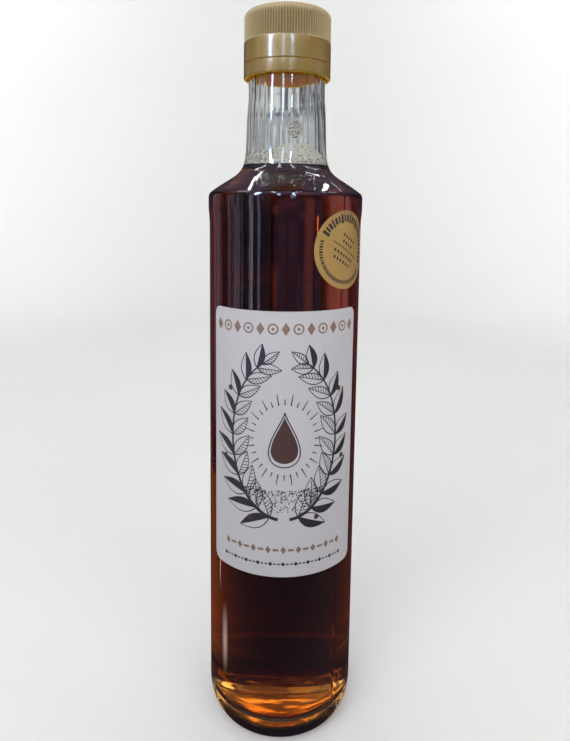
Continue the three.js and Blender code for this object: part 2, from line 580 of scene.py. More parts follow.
# Foam collar with its bubbles
foam = lengths(
    peak=234.4, dip=4.2,  # how far the rest lies below the peak
    intoWall=0.25, bubbleRadius=(0.12, 0.28), pitRadius=(0.11, 0.25),
) | {
    "bottom": syrup["level"] - 0.3 * mm,
    "peakAngle": 27, "leftSpread": 60, "rightSpread": 29,  # degrees
    "steps": 120, "bubbles": 640, "loose": 110, "pits": 620,
    "blisters": ((22.5, 232.8, 0.55), (17, 229.7, 0.6), (-14, 231, 0.4)),  # angle, height and radius
    "bigPits": ((21.5, 229.6, 0.62), (24.5, 233.0, 0.3), (36, 230, 0.3)),
    "cells": 880.0,
    "colour": (0.93, 0.91, 0.81),
    "dull": (0.8, 0.775, 0.655),
    # shade is the painted shade inside the foam's holes
    "shade": (0.19, 0.165, 0.11),
    # the darkest painted shade, for the pits
    "pitShadeColour": (0.11, 0.093, 0.06),
    "bubbleDark": (0.55, 0.5, 0.38),
    "bubbleLight": (0.9, 0.88, 0.78),
}


def foamTop(angle, share):  # height of the foam at an angle from the front and a share of the radius
    off = (angle * 180 / pi - foam["peakAngle"] + 180) % 360 - 180
    hump = exp(-(off / (foam["rightSpread"] if off > 0 else foam["leftSpread"])) ** 2)
    ripple = 0.12 * mm * sin(9 * angle + 2 * share)
    return foam["peak"] - foam["dip"] * (0.6 + share * (0.4 - hump)) + share * ripple


def foamReach(z):
    return innerRadius(z) + foam["intoWall"]


def makeFoam():
    bottom, flat = foam["bottom"], foam["peak"] - foam["dip"]
    rise = flat - bottom
    wall = [(foamReach(z), z) for z in [bottom + rise * i / 10 for i in range(11)]]
    profile = [(0, bottom)] + runPoints((0, bottom), wall[0], 4) + wall[1:]
    profile += runPoints(wall[-1], (0, flat), 14)
    obj = turnPiece("foam_collar", profile, foam["steps"])
    for v in obj.data.vertices:
        before = foamReach(v.co.z)
        share = min(1, reachOf(v.co) / before)
        top = foamTop(angleOf(v.co), share)
        up = (v.co.z - bottom) / rise
        v.co.z = bottom + up * (top - bottom)
        if up > 0.99:
            v.co.z += dice.uniform(-0.1, 0.1) * mm
        moveOut(v, foamReach(v.co.z) / before)  # keeps to the wall where it flares
    return smoothPiece(obj, 60)


def joinBalls(name, balls):  # balls are (x, y, z, radius)
    ball = startPiece("ball", bpy.ops.mesh.primitive_ico_sphere_add, subdivisions=2, radius=1)
    ballVerts = [tuple(v.co) for v in ball.data.vertices]
    ballFaces = [tuple(p.vertices) for p in ball.data.polygons]
    bpy.data.objects.remove(ball)
    verts, faces = [], []
    for x, y, z, r in balls:
        start = len(verts)
        verts += [(x + r * a, y + r * b, z + r * c) for a, b, c in ballVerts]
        faces += [tuple(start + i for i in face) for face in ballFaces]
    obj = meshPiece(name, verts, faces)
    return smoothPiece(obj, 180)


def wallBall(angle, z, r, proud):  # one that looks out of the foam's wall
    return *atAngle(foamReach(z) + proud - r, angle, z), r


def foamBalls(count, sizes, proud, larger):  # scattered over the wall, denser low down and at the left
    balls = []
    while len(balls) < count:
        angle = dice.uniform(-pi, pi)
        r = dice.uniform(*sizes)
        up = dice.random() ** (1.1 if sin(angle) < -0.35 else 2.6)
        z = syrup["level"] + 0.1 * mm + up * (foamTop(angle, 1) - syrup["level"])
        balls.append(wallBall(angle, z, r, proud))
    return balls + [wallBall(radians(a), z * mm, r * mm, 0.1 * mm) for a, z, r in larger]


def makeBubbles():
    balls = foamBalls(foam["bubbles"], foam["bubbleRadius"], 0.1 * mm, foam["blisters"])
    for _ in range(foam["loose"]):  # on top
        angle, share = dice.uniform(-pi, pi), sqrt(dice.random()) * 0.95
        r = dice.uniform(*foam["bubbleRadius"]) * 1.2
        balls.append((*atAngle(share * (glass["boreRadius"] - r), angle, foamTop(angle, share)), r))
    return joinBalls("foam_bubbles", balls)


# dark balls that paint the shade inside the foam's pits
def makePits():
    return joinBalls("foam_pit_shade", foamBalls(foam["pits"], foam["pitRadius"], 0.12 * mm, foam["bigPits"]))


def foamMaterial():
    material, tree, shader = newMaterial("syrupFoam")
    place, (x, y, z) = placeNode(tree)
    cells = addNode(tree, "ShaderNodeTexVoronoi", Scale=foam["cells"])
    link(place, cells.inputs["Vector"])
    holes = rampNode(cells.outputs["Distance"], 0.26, 0.42, 1.0, 0.0)
    fine, broad = addGrain(tree, 1400, 260)
    atLeft = rampNode(x, -7 * mm, -1 * mm, 1.0, 0.0)
    atRight = rampNode(x, 6 * mm, 10 * mm)
    atFoot = rampNode(z, syrup["level"], syrup["level"] + 2.8 * mm, 1.0, 0.0)
    patchy = rampNode(broad, 0.36, 0.56, 0.65, 1.0)
    frothy = mathNode("MULTIPLY", mathNode("MAXIMUM", atLeft, atRight, atFoot), patchy)
    # pinholes: dark spots of painted shade inside the foam's small holes
    pinholeShade = mathNode("MULTIPLY", holes, mathNode("MAXIMUM", frothy, 0.12))
    body = mixColours(broad, foam["dull"], foam["colour"])
    link(mixColours(pinholeShade, body, foam["shade"]), shader.inputs["Base Color"])
    setFinish(shader, {"Roughness": 0.42})
    bumpFrom(mathNode("SUBTRACT", fine, pinholeShade), 0.5, 0.1 * mm, shader)
    return material


bubbleFinish = {"Roughness": 0.12, "Coat Weight": 0.6}
bubbleGrain = (1800, 420)
wetBubble = grainyMaterial("wetBubble", bubbleGrain, 0, foam["bubbleDark"], foam["bubbleLight"], bubbleFinish)
# painted shade for the pits in the foam and in the neck's film
paintedPitShade = grainyMaterial("paintedPitShade", bubbleGrain, 0, foam["pitShadeColour"], foam["shade"], bubbleFinish)
dress(makeFoam(), foamMaterial(), "foam")
froth = makeBubbles()
dress(froth, wetBubble)
dress(makePits(), paintedPitShade)
print("foam settled:", len(froth.data.polygons), "bubble faces")

# Oval of film inside the neck, with a rim
neckMark = lengths(height=239.2, width=5.3, tall=7.85, tube=0.17, bubbleRadius=(0.14, 0.3)) | {
    "turn": radians(13.5), "around": 44, "section": 8, "bubbles": 170, "gaps": 95,
}


def makeFilmRim():
    verts, faces = [], []
    around, section = neckMark["around"], neckMark["section"]
    for i in range(around):
        a = fullTurn * i / around
        for j in range(section):
            b = fullTurn * j / section
            out = neckMark["tube"] * cos(b)
            x = (neckMark["width"] / 2 + out) * cos(a)
            y = (neckMark["tall"] / 2 + out) * sin(a)
            verts.append((x, y, neckMark["tube"] * sin(b)))
            k, m = (i + 1) % around * section, (j + 1) % section
            faces.append((i * section + j, k + j, k + m, i * section + m))
    rim = meshPiece("neck_ring", verts, faces)
    return smoothPiece(rim, 180)


def makeFilm():
    specks, gaps = [], []
    while len(specks) < neckMark["bubbles"]:
        x, y = dice.uniform(-0.42, 0.42), dice.uniform(-0.42, 0.42)
        if hypot(x, y) < 0.4:
            group = gaps if len(specks) % 3 == 0 and len(gaps) < neckMark["gaps"] else specks
            radius = dice.uniform(*neckMark["bubbleRadius"])
            group.append((x * neckMark["width"], y * neckMark["tall"], 0, radius))
    return joinBalls("neck_specks", specks), joinBalls("neck_pit_shade", gaps)


film = (makeFilmRim(), *makeFilm())
# the film's gaps take the painted pit shade
for piece, material in zip(film, (wetBubble, wetBubble, paintedPitShade)):
    wrapRound(piece, innerRadius(neckMark["height"]) - 0.05 * mm, neckMark["turn"], neckMark["height"])
    dress(piece, material)
print("neck filmed")

# Cap and tamper ring
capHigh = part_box("cap")[1]
ringLow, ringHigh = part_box("tamper_ring")
cap = lengths(
    wall=1.2, panel=1.6, edge=2.5, topDip=0.12, sprueDip=0.35,
    ribDepth=0.8, ribLow=272.6, ribHigh=283.1, ribFade=2.4, ribInset=0.12,  # of the ridges, behind the band
    gap=0.22, chamfer=0.18, ringRound=0.5,
) | {
    "radius": capHigh.x, "top": capHigh.z, "ribs": 100, "bridges": 12,
    "gold": (0.305, 0.197, 0.038),
    "goldDark": (0.225, 0.14, 0.02),
    # ridge is the paler painted highlight on the ridges, valley the darker painted shade in the grooves
    "ridge": (0.5, 0.4, 0.21),
    "valley": (0.3, 0.213, 0.083),
    # painted glow: a bright amber for the light that comes through the plastic onto its inner faces
    "inside": (0.94, 0.61, 0.06),
}


def capProfile():
    outer, inner, c = cap["radius"], cap["radius"] - cap["wall"], cap["chamfer"]
    top, under, low = cap["top"], cap["top"] - cap["panel"], ringHigh.z + cap["gap"]
    edgeMiddle = (outer - cap["edge"], top - cap["edge"])
    ridge = outer - cap["ribInset"]
    profile = [(0, under), (inner - mm, under), (inner, under - mm), (inner, low + c), (inner + c, low)]
    profile += [(outer - c, low), (outer, low + c)]
    profile += runPoints(profile[-1], (outer, cap["ribLow"] - 0.3 * mm), 3)
    profile += [(outer - 0.05 * mm, cap["ribLow"] - 0.1 * mm), (ridge, cap["ribLow"])]
    profile += [(ridge, cap["ribLow"] + 0.35 * mm)]
    profile += runPoints(profile[-1], (ridge, edgeMiddle[1] - 0.2 * mm), 6)
    profile += arcPoints(edgeMiddle, cap["edge"] - 0.06 * mm, cap["edge"], 2, 90, 14)
    profile += [(12.6 * mm, top), (12.2 * mm, top - cap["topDip"]), (2.2 * mm, top - cap["topDip"])]
    return profile + [(1.9 * mm, top - cap["sprueDip"]), (0, top - cap["sprueDip"])]


def makeCap():  # one rib's slice, copied round
    pitch = fullTurn / cap["ribs"]
    obj = turnPiece("ribbed_cap", capProfile(), 8, pitch)
    for v in obj.data.vertices:
        radius = reachOf(v.co)
        if radius < cap["radius"] - cap["edge"] or not cap["ribLow"] + 0.1 * mm < v.co.z < cap["ribHigh"]:
            continue
        across = abs(atan2(v.co.y, v.co.x)) / pitch  # 0 and 1 are valleys, a half is the ridge
        valley = min(1, 1.5 * abs(2 * across - 1)) ** 1.2
        fade = min(1, (cap["ribHigh"] - v.co.z) / cap["ribFade"])
        moveOut(v, 1 - cap["ribDepth"] * valley * fade / radius)
    editMode()
    selectAll()
    copyRound(cap["ribs"])
    closeSeams()
    objectMode()
    return smoothPiece(obj, 32)


def makeBand():
    outer, inner, c = cap["radius"], cap["radius"] - cap["wall"], cap["chamfer"]
    low, high, foot = ringLow.z, ringHigh.z, cap["ringRound"]
    grip = glass["throat"][-1][0] + 0.35 * mm
    profile = [(inner + foot / 2, low)] + arcPoints((outer - foot, low + foot), foot, foot, -90, 0, 4)
    profile += [(outer, high - c), (outer - c, high), (grip + 0.2 * mm, high), (grip, high - 0.2 * mm)]
    profile += [(grip, high - 1.2 * mm), (inner, high - 2.4 * mm), (inner, low + foot / 2)]
    obj = turnPiece("tamper_band", profile + profile[:1], 144)
    return smoothPiece(obj)


def makeBridges():  # the short links that tear when the cap is first turned
    obj = startPiece("ring_bridges", bpy.ops.mesh.primitive_cube_add, size=1)
    editMode()
    bpy.ops.transform.resize(value=(0.5 * mm, 0.7 * mm, cap["gap"] + 0.3 * mm))
    bpy.ops.mesh.bevel(offset=0.08 * mm, segments=2, affect="EDGES")
    selectAll()
    bpy.ops.transform.translate(value=(cap["radius"] - 0.6 * mm, 0, ringHigh.z + cap["gap"] / 2))
    copyRound(cap["bridges"])
    objectMode()
    return smoothPiece(obj)


def ribPaintedLightMaterial():  # duller than the band, with painted highlight on the ridges and the top edge and painted shade in the grooves
    material, tree, shader = newMaterial("ribbedPlasticPaintedLight")
    x, y, z = placeNode(tree)[1]
    squares = [mathNode("MULTIPLY", part, part) for part in (x, y)]
    radius = mathNode("SQRT", mathNode("ADD", *squares), 0)
    # painted shade deep in the grooves, painted highlight out on the ridges
    depth = rampNode(radius, cap["radius"] - cap["ribDepth"], cap["radius"] - 0.15 * mm)
    # towards the top edge the painted highlight takes over
    above = rampNode(z, cap["ribHigh"] - cap["ribFade"], cap["ribHigh"] - 0.6 * mm, 0.0, 0.7)
    colour = mixColours(mathNode("MAXIMUM", depth, above), cap["valley"], cap["ridge"])
    link(colour, shader.inputs["Base Color"])
    setFinish(shader, {"Roughness": 0.62, "Specular IOR Level": 0.25})
    bumpFrom(addGrain(tree, 2600, 190)[0], 0.12, 0.06 * mm, shader)
    return material


def paintBacklitGlow(obj):  # faces that look at the neck get a bright amber, the painted glow of light coming through the plastic
    for face in obj.data.polygons:
        middle = face.center
        downwards = face.normal.z < -0.5 and reachOf(middle) < cap["radius"] - 0.3 * mm
        if middle.z < cap["top"] - cap["panel"] / 2 and (downwards or looksOut(face) < -0.2):
            face.material_index = 1
        elif middle.z > cap["ribLow"]:
            face.material_index = 2


goldFinish = {"Coat Weight": 0.7, "Coat Roughness": 0.14, "Metallic": 0.15}
goldPlastic = grainyMaterial("goldPlastic", (2600, 190), 0.6, cap["goldDark"], cap["gold"], goldFinish,
                             (0.12, 0.06 * mm), (0.3, 0.44))
# the inner faces' finish, painted far brighter than the gold outside as the glow of light through the plastic
darkerBacklitAmber = [0.75 * x for x in cap["inside"]]
backlitAmberGlow = grainyMaterial("backlitAmberGlow", (1500, 240), 0, darkerBacklitAmber, cap["inside"], {
    "Roughness": 0.6, "Specular IOR Level": 0.12, "Subsurface Weight": 0.85,
    "Subsurface Radius": (1.0, 0.6, 0.3), "Subsurface Scale": 2.8 * mm,
}, (0.1, 0.06 * mm))
lid = makeCap()
dress(lid, goldPlastic, "cap")
band = makeBand()
dress(band, goldPlastic, "tamper_ring")
for piece in (lid, band):
    piece.data.materials.append(backlitAmberGlow)
    paintBacklitGlow(piece)
lid.data.materials.append(ribPaintedLightMaterial())
dress(makeBridges(), goldPlastic)
print("cap ribbed:", len(lid.data.polygons), "faces")

# Paper label
labelLow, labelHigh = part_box("label")
label = lengths(width=63.5, corner=3.2, glue=0.03, thickness=0.24, inkLift=0.02) | {
    "height": labelHigh.z - labelLow.z,
    "middle": (labelHigh.z + labelLow.z) / 2,
    "turn": radians(1.5), "columns": 64,
    "paper": (0.595, 0.58, 0.6),
    "paperShade": (0.545, 0.53, 0.55),
    "black": (0.014, 0.012, 0.014),
    "bronze": (0.2, 0.125, 0.085),
    "brown": (0.055, 0.018, 0.011),
}


def wrapSticker(obj, sticker):  # bends a flat outline round the body and gives it its thickness
    cutColumns(obj, sticker["width"], sticker["columns"])
    wrapRound(obj, glass["bodyRadius"] + sticker["glue"], sticker["turn"], sticker["middle"])
    sheet = obj.modifiers.new("sheet", "SOLIDIFY")
    sheet.thickness, sheet.offset = sticker["thickness"], 1
    pickPiece(obj)
    bpy.ops.object.modifier_apply(modifier=sheet.name)
    smoothPiece(obj, 40)


def printSticker(name, ink, inkName, colour, roughness, sticker):
    obj = meshPiece(name, [(x * mm, y * mm, 0) for x, y in ink["points"]], ink["faces"])
    cutColumns(obj, sticker["width"], sticker["columns"])
    lift = sticker["glue"] + sticker["thickness"] + sticker["inkLift"]
    wrapRound(obj, glass["bodyRadius"] + lift, sticker["turn"], sticker["middle"])
    worn = [min(1, 1.5 * x + 0.01) for x in colour]
    dress(obj, grainyMaterial(inkName, (3200, 420), 1, colour, worn, {"Roughness": roughness}))


def makeLabel():
    obj = startPiece("paper_label", bpy.ops.mesh.primitive_plane_add, size=1)
    editMode()
    bpy.ops.transform.resize(value=(label["width"], label["height"], 1))
    bpy.ops.mesh.bevel(offset=label["corner"], offset_type="OFFSET", segments=10, affect="VERTICES")
    objectMode()
    wrapSticker(obj, label)
    return obj


# Print shapes, drawn flat and in millimetres from the sticker's middle
def freshInks(*names):
    return {name: {"points": [], "faces": []} for name in names}


def addStroke(ink, points, width, tip=None):
    tip = width if tip is None else tip
    start = len(ink["points"])
    last = len(points) - 1
    for i, (x, y) in enumerate(points):
        before, after = points[max(i - 1, 0)], points[min(i + 1, last)]
        dx, dy = after[0] - before[0], after[1] - before[1]
        length = hypot(dx, dy) or 1
        half = (width + (tip - width) * i / last) / 2
        nx, ny = -dy / length * half, dx / length * half
        ink["points"] += [(x + nx, y + ny), (x - nx, y - ny)]
    for a in range(start, start + 2 * last, 2):
        ink["faces"].append((a, a + 1, a + 3, a + 2))


def addShape(ink, outline):
    start = len(ink["points"])
    ink["points"] += outline
    ink["faces"].append(tuple(range(start, start + len(outline))))


def ovalPoints(x, y, width, height, sides):
    return arcPoints((x, y), width / 2, height / 2, 0, 360, sides)[:-1]


def addDot(ink, x, y, radius, sides):
    addShape(ink, ovalPoints(x, y, 2 * radius, 2 * radius, sides))


def addDiamond(ink, x, y, width, height):
    addShape(ink, ovalPoints(x, y, width, height, 4))


def addBar(ink, x, y, width, height):
    w, h = width / 2, height / 2
    addShape(ink, [(x - w, y - h), (x + w, y - h), (x + w, y + h), (x - w, y + h)])


leafSteps = 9


def leafEdge(base, angle, length, width, side):
    points = []
    for i in range(leafSteps + 1):
        t = i / leafSteps
        out = side * width / 2 * sin(pi * t ** 0.85)
        points.append((
            base[0] + length * t * cos(angle) - out * sin(angle),
            base[1] + length * t * sin(angle) + out * cos(angle),
        ))
    return points


def addLeaf(ink, base, angle, length, width, line, filled=False):
    upper, lower, rib = [leafEdge(base, angle, length, width, side) for side in (1, -1, 0)]
    addStroke(ink, upper, line, line * 0.6)
    addStroke(ink, lower, line, line * 0.6)
    addStroke(ink, rib, line * 0.9, line * 0.4)
    if filled:
        for i in range(leafSteps):
            addShape(ink, [rib[i], lower[i], lower[i + 1], rib[i + 1]])
        return
    for i in range(2, leafSteps):  # hatching on the lower half
        addStroke(ink, [rib[i - 1], lower[i]], line * 0.65, line * 0.5)


wreath = {
    "middle": (0, 3), "width": 42, "height": 62, "startAngle": -84, "endAngle": 66,
    "stemWidth": 1.3, "stemTip": 0.5, "line": 0.46,
    "leafPairs": 10, "leafLength": 12.5, "leafWidth": 5.6, "tipLength": 8, "tipWidth": 3.4,
    "seedOut": 4.6, "seedRadius": 1.05,
    "dropHeight": 21, "dropWidth": 14,
    "rays": 32, "rayStart": 11.6, "rayEnds": (13.6, 15.4), "rayStretch": 1.15,
    "dots": 380, "dotRadius": (0.16, 0.34), "groundHalfWidth": 17, "groundDrop": 19.5, "groundDepth": 9,
}


def wreathPoint(degrees, side):
    a = radians(degrees)
    x = wreath["middle"][0] + side * wreath["width"] / 2 * cos(a)
    return x, wreath["middle"][1] + wreath["height"] / 2 * sin(a)


def heading(start, end):
    return atan2(end[1] - start[1], end[0] - start[0])


def drawWreath(black, brown):
    span = wreath["endAngle"] - wreath["startAngle"]
    for side in (-1, 1):
        stem = [wreathPoint(wreath["startAngle"] + span * i / 40, side) for i in range(41)]
        addStroke(black, stem, wreath["stemWidth"], wreath["stemTip"])
        for pair in range(wreath["leafPairs"]):
            degrees = wreath["startAngle"] + span * (pair + 0.6) / wreath["leafPairs"]
            base = wreathPoint(degrees, side)
            along = heading(base, wreathPoint(degrees + 2, side))
            size = 1 - 0.3 * pair / wreath["leafPairs"]
            for lean in (-44, 40):
                length = wreath["leafLength"] * size * dice.uniform(0.9, 1.08)
                angle = along + radians(dice.uniform(-6, 6) - lean * side)
                addLeaf(black, base, angle, length, wreath["leafWidth"] * size, wreath["line"], lean > 0)
            if pair % 3 == 1:  # a round seed between some leaves
                a, out = radians(degrees), wreath["seedOut"]
                x, y = base[0] + side * out * cos(a), base[1] + out * sin(a)
                addDot(brown, x, y, wreath["seedRadius"], 14)
        along = heading(stem[-3], stem[-1])
        addLeaf(black, stem[-1], along, wreath["tipLength"], wreath["tipWidth"], wreath["line"])


def dropOutline(scale, steps=40):
    x0, y0 = wreath["middle"]
    outline = []
    for i in range(steps):
        a = fullTurn * i / steps
        narrow = 1.25 * sin(a / 2) ** 1.7  # pointed at the top
        outline.append((
            x0 + scale * wreath["dropWidth"] / 2 * sin(a) * narrow,
            y0 + scale * wreath["dropHeight"] / 2 * cos(a),
        ))
    return outline


def drawDrop(black, brown):
    x0, y0 = wreath["middle"]
    addShape(brown, dropOutline(0.86))
    outline = dropOutline(1.0)
    addStroke(black, outline + outline[:1], wreath["line"])
    for i in range(wreath["rays"]):
        a = fullTurn * i / wreath["rays"]
        ends = (wreath["rayStart"], wreath["rayEnds"][i % 2])
        ray = [(x0 + end * sin(a), y0 + end * cos(a) * wreath["rayStretch"]) for end in ends]
        addStroke(black, ray, 0.5, 0.25)
    for _ in range(wreath["dots"]):  # stippled ground below the drop
        a = dice.uniform(-1, 1)
        y = y0 - wreath["groundDrop"] - dice.random() ** 1.6 * wreath["groundDepth"] * (1 - a * a)
        addDot(black, x0 + wreath["groundHalfWidth"] * a, y, dice.uniform(*wreath["dotRadius"]), 6)


def drawRows(black, bronze):  # bands of plain shapes at the head and the foot
    edge = label["height"] / mm / 2
    top, low, foot = edge - 6.4, 10.8 - edge, 5.2 - edge
    for i in range(-6, 7):
        x = i * 4.7
        if i % 2:
            addStroke(bronze, arcPoints((x, top), 1.75, 1.75, 0, 360, 24), 0.6)
            addDot(bronze, x, top, 0.6, 12)
        else:
            addDiamond(bronze, x, top, 3.1, 4.8)
    for i in range(-8, 9):
        if i % 2:
            addBar(bronze, i * 2.9, low, 2.3, 0.9)
        else:
            addDiamond(bronze, i * 2.9, low, 2.2, 3.1)
    for i in range(-15, 16):
        if i % 3:
            addBar(black, i * 1.62, foot, 1.1, 0.55)
        else:
            addDot(black, i * 1.62, foot, 0.72, 10)


labelPaper = grainyMaterial("labelPaper", (2400, 70), 0.5, label["paperShade"], label["paper"],
                            {"Roughness": 0.55}, (0.18, 0.04 * mm))
dress(makeLabel(), labelPaper, "label")
inks = freshInks("black", "bronze", "brown")
drawWreath(inks["black"], inks["brown"])
drawDrop(inks["black"], inks["brown"])
drawRows(inks["black"], inks["bronze"])
for name, ink in inks.items():
    printSticker("label_" + name, ink, f"label_{name}Ink", label[name], 0.5, label)
print("label printed:", len(inks["black"]["faces"]), "black shapes")

# Round foil seal
sealLow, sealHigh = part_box("seal")
seal = lengths(width=29, glue=0.03, thickness=0.2, inkLift=0.02) | {
    "middle": (sealHigh.z + sealLow.z) / 2,
    "turn": radians(48), "tilt": radians(-28), "columns": 40,
    "gold": (0.62, 0.41, 0.125),
    "goldDark": (0.5, 0.315, 0.085),
    "ink": (0.02, 0.016, 0.012),
}


def makeSeal():
    disc = {"vertices": 120, "radius": seal["width"] / 2, "fill_type": "NGON"}
    obj = startPiece("foil_seal", bpy.ops.mesh.primitive_circle_add, **disc)
    wrapSticker(obj, seal)
    return obj


def turned(points, angle):
    c, s = cos(angle), sin(angle)
    return [(x * c - y * s, x * s + y * c) for x, y in points]


def addRimBar(ink, degrees, inner, outer, width):
    box = [(inner, -width / 2), (outer, -width / 2), (outer, width / 2), (inner, width / 2)]
    addShape(ink, turned(box, radians(degrees) + seal["tilt"]))


def drawSeal(ink):
    for i in range(23):  # bold bars over the upper rim
        inner, outer = (10.4, 12.9) if i % 3 else (10.0, 13.2)
        addRimBar(ink, 176 - i * 7.8, inner, outer, 0.85 if i % 2 else 1.15)
    for i in range(34):  # small ones under the lower rim
        addRimBar(ink, 192 + i * 4.7, 11.3, 12.7, 0.5 if i % 2 else 0.75)
    addStroke(ink, turned([(-7.6, 0), (7.6, 0)], seal["tilt"]), 0.36)
    for row, count in ((4.6, 5), (2.3, 4), (-2.3, 7), (-4.7, 6)):
        for i in range(count):
            x = (i - (count - 1) / 2) * 1.7
            addShape(ink, turned(ovalPoints(x, row, 1.24, 1.6, 4), seal["tilt"]))


goldFoil = grainyMaterial("goldFoil", (2200, 130), 0.5, seal["goldDark"], seal["gold"], {"Metallic": 0.45},
                          (0.1, 0.05 * mm), (0.34, 0.5))
dress(makeSeal(), goldFoil, "seal")
sealInk = freshInks("seal")["seal"]
drawSeal(sealInk)
printSticker("seal_print", sealInk, "sealInk", seal["ink"], 0.45, seal)
print("seal stuck on")

# Stage: a pale floor that sweeps up all round, soft lamps, and cards that only show in glass and gloss
stage = {
    "floorRadius": 0.12,
    "bowlRadius": 1.6,
    "bowlBend": 0.6,
    "bowlHeight": 2.4,
    "pale": (0.93, 0.93, 0.925),
    "shadePlace": (0, -0.15, 0.0006),
    "shadeSize": (0.5, 0.23),
    "shadeColour": (0.03, 0.028, 0.028),
    "tubeColour": (0.95, 0.98, 1.0),
    "roomGlow": (0.19, 0.145, 0.21),  # what gloss mirrors between the cards
    "lightThrough": (1.0, 0.98, 0.94),  # what lights the things behind glass
    "skyThrough": 1.35,
    "roomThrough": 1.1,
    "tableThrough": 0.85,
}

# azimuth from the front towards the right, height, distance, aim height, width and height, power
lamps = {
    "keyLamp": (-28, 1.05, 1.0, 0.2, 0.8, 0.8, 6.5),
    "fillLamp": (38, 0.7, 1.15, 0.18, 0.7, 0.8, 3.0),
    "wallLampLeft": (-125, 1.1, 0.7, 1.1, 0.5, 0.5, 7),
    "wallLampRight": (125, 1.1, 0.7, 1.1, 0.5, 0.5, 7),
}

# azimuth, height of the middle, distance, width, height, colour, strength, soft edge, streaks
glossCards = {
    "stripCard": (13, 0.86, 1.0, 0.06, 0.9, (0.36, 0.6, 1.0), 64.0, 0.22, 0.2),
    "stripFaint": (-10, 0.86, 1.0, 0.1, 0.9, (0.42, 0.68, 1.0), 20.0, 0.22, 0.4),
    "capWindow": (-45, 0.88, 1.0, 0.2, 0.9, (0.42, 0.6, 1.0), 66.0, 0.22, 0.3),
    "neckStrip": (10, 0.4, 0.98, 0.14, 0.3, (0.5, 0.7, 1.0), 7.0, 0.5, 0.7),
    "neckStripLeft": (-32, 0.3, 0.98, 0.09, 0.14, (0.55, 0.75, 1.0), 2.6, 0.8, 0.7),
    "frontVeil": (20, 0.1, 1.02, 1.7, 0.44, (0.95, 0.56, 0.95), 0.42, 0.3, 0.4),
    "windowCardA": (-38, 0.25, 1.0, 0.12, 1.0, (0.78, 0.66, 1.0), 2.6, 0.6, 0.8),
    "windowCardB": (-50, 0.2, 1.0, 0.16, 1.0, (0.88, 0.76, 1.0), 3.4, 0.6, 0.8),
    "windowCardC": (-78, 0.2, 1.0, 0.7, 1.0, (0.9, 0.68, 0.9), 1.1, 0.5, 0.9),
    "windowCardD": (-120, 0.2, 1.0, 0.6, 1.0, (0.9, 0.68, 0.9), 0.55, 0.5, 0.7),
    "rightWall": (88, 0.2, 1.0, 1.0, 1.0, (0.85, 0.66, 1.0), 0.6, 0.4, 0.4),
    "tableGlint": (-99, -0.71, 1.0, 0.32, 0.21, (1.0, 0.82, 0.76), 3.4, 1.0, 0.2),
    "tableGlintHigh": (-112, -0.53, 1.0, 0.05, 0.14, (1.0, 0.94, 0.9), 6.0, 1.0, 0.2),
}
throughCards = {
    "slitCard": (-167, 0.185, 1.0, 0.013, 0.15, (1.0, 0.93, 0.8), 2.2, 0.4, 0.3),
    "columnCard": (-170.5, 0.08, 1.0, 0.09, 0.5, (1.0, 0.93, 0.86), 0.13, 0.6, 0.3),
    "glowCard": (-151, -0.02, 1.0, 0.56, 0.66, (1.0, 0.68, 0.9), 0.34, 0.7, 0.3),
    "lowBackCard": (177, -0.1, 1.0, 0.5, 0.5, (1.0, 0.93, 0.9), 0.05, 0.9, 0.4),
    "redPatch": (176.5, 0.06, 0.97, 0.07, 0.16, (1.0, 0.9, 0.9), 0.12, 0.9, 0.3),
    "redSlit": (-174, -0.225, 0.98, 0.17, 0.05, (1.0, 0.9, 0.85), 0.7, 0.6, 0.3),
    "sideCard": (130, 0.1, 1.0, 0.6, 0.9, (1.0, 0.97, 0.95), 0.03, 0.6, 0.5),
    "upperBackCard": (176, 0.5, 1.0, 1.2, 0.42, (0.95, 0.98, 1.0), 0.6, 0.1, 0.8),
    "neckSideLeft": (-137, 0.44, 1.0, 0.62, 0.4, (0.98, 1.0, 0.98), 0.75, 0.2, 0.8),
    "neckSideRight": (137, 0.44, 1.0, 0.62, 0.4, (0.95, 0.97, 1.0), 0.55, 0.2, 0.8),
}

# What shows through the empty neck: pale and dull blotches with thin dark edges, paler at the left
neckView = {
    "height": 0.42,
    "distance": 0.9,
    "size": (0.62, 0.34),
    "blotches": (7.5, 5.0, 1.0),
    "line": 0.415,  # height of the dark line, as a share of the card
    "lineLean": 0.16,
    "pale": (0.66, 0.68, 0.66),
    "dull": (0.25, 0.245, 0.26),
    "paleLow": (0.6, 0.62, 0.64),
    "dullLow": (0.27, 0.28, 0.3),
    "edge": (0.045, 0.045, 0.06),
}

# overhead tubes: place, length, width, turn in degrees, strength
tubes = {
    "tubeA": ((-0.35, -0.75, 1.5), 0.9, 0.16, 78, 11),
    "tubeB": ((0.3, -0.75, 1.5), 0.9, 0.12, 84, 11),
    "tubeC": ((0.55, 0.75, 1.5), 1.0, 0.07, 84, 13),
    "tubeD": ((-0.5, 0.75, 1.5), 1.0, 0.08, 78, 13),
    "tubeE": ((0.05, 1.25, 1.5), 1.0, 0.1, 8, 12),
    "tubeF": ((-1.0, 0.1, 1.5), 1.2, 0.14, 80, 11),
    "tubeG": ((1.0, 0.1, 1.5), 1.2, 0.12, 86, 10),
}


def placeRound(obj, azimuth, height, distance, reach, aimHeight):  # faces a point on the same bearing
    out = Vector(atAngle(1, radians(azimuth), 0))
    obj.location = out * distance + Vector((0, 0, height))
    towards = out * reach + Vector((0, 0, aimHeight)) - obj.location
    obj.rotation_mode = "QUATERNION"
    obj.rotation_quaternion = towards.to_track_quat("-Z", "Y")


def glowMaterial(name):
    material, tree, shader = newMaterial(name)
    tree.nodes.remove(shader)
    glow = tree.nodes.new("ShaderNodeEmission")
    link(glow.outputs[0], tree.nodes["Material Output"].inputs["Surface"])
    return material, tree, glow


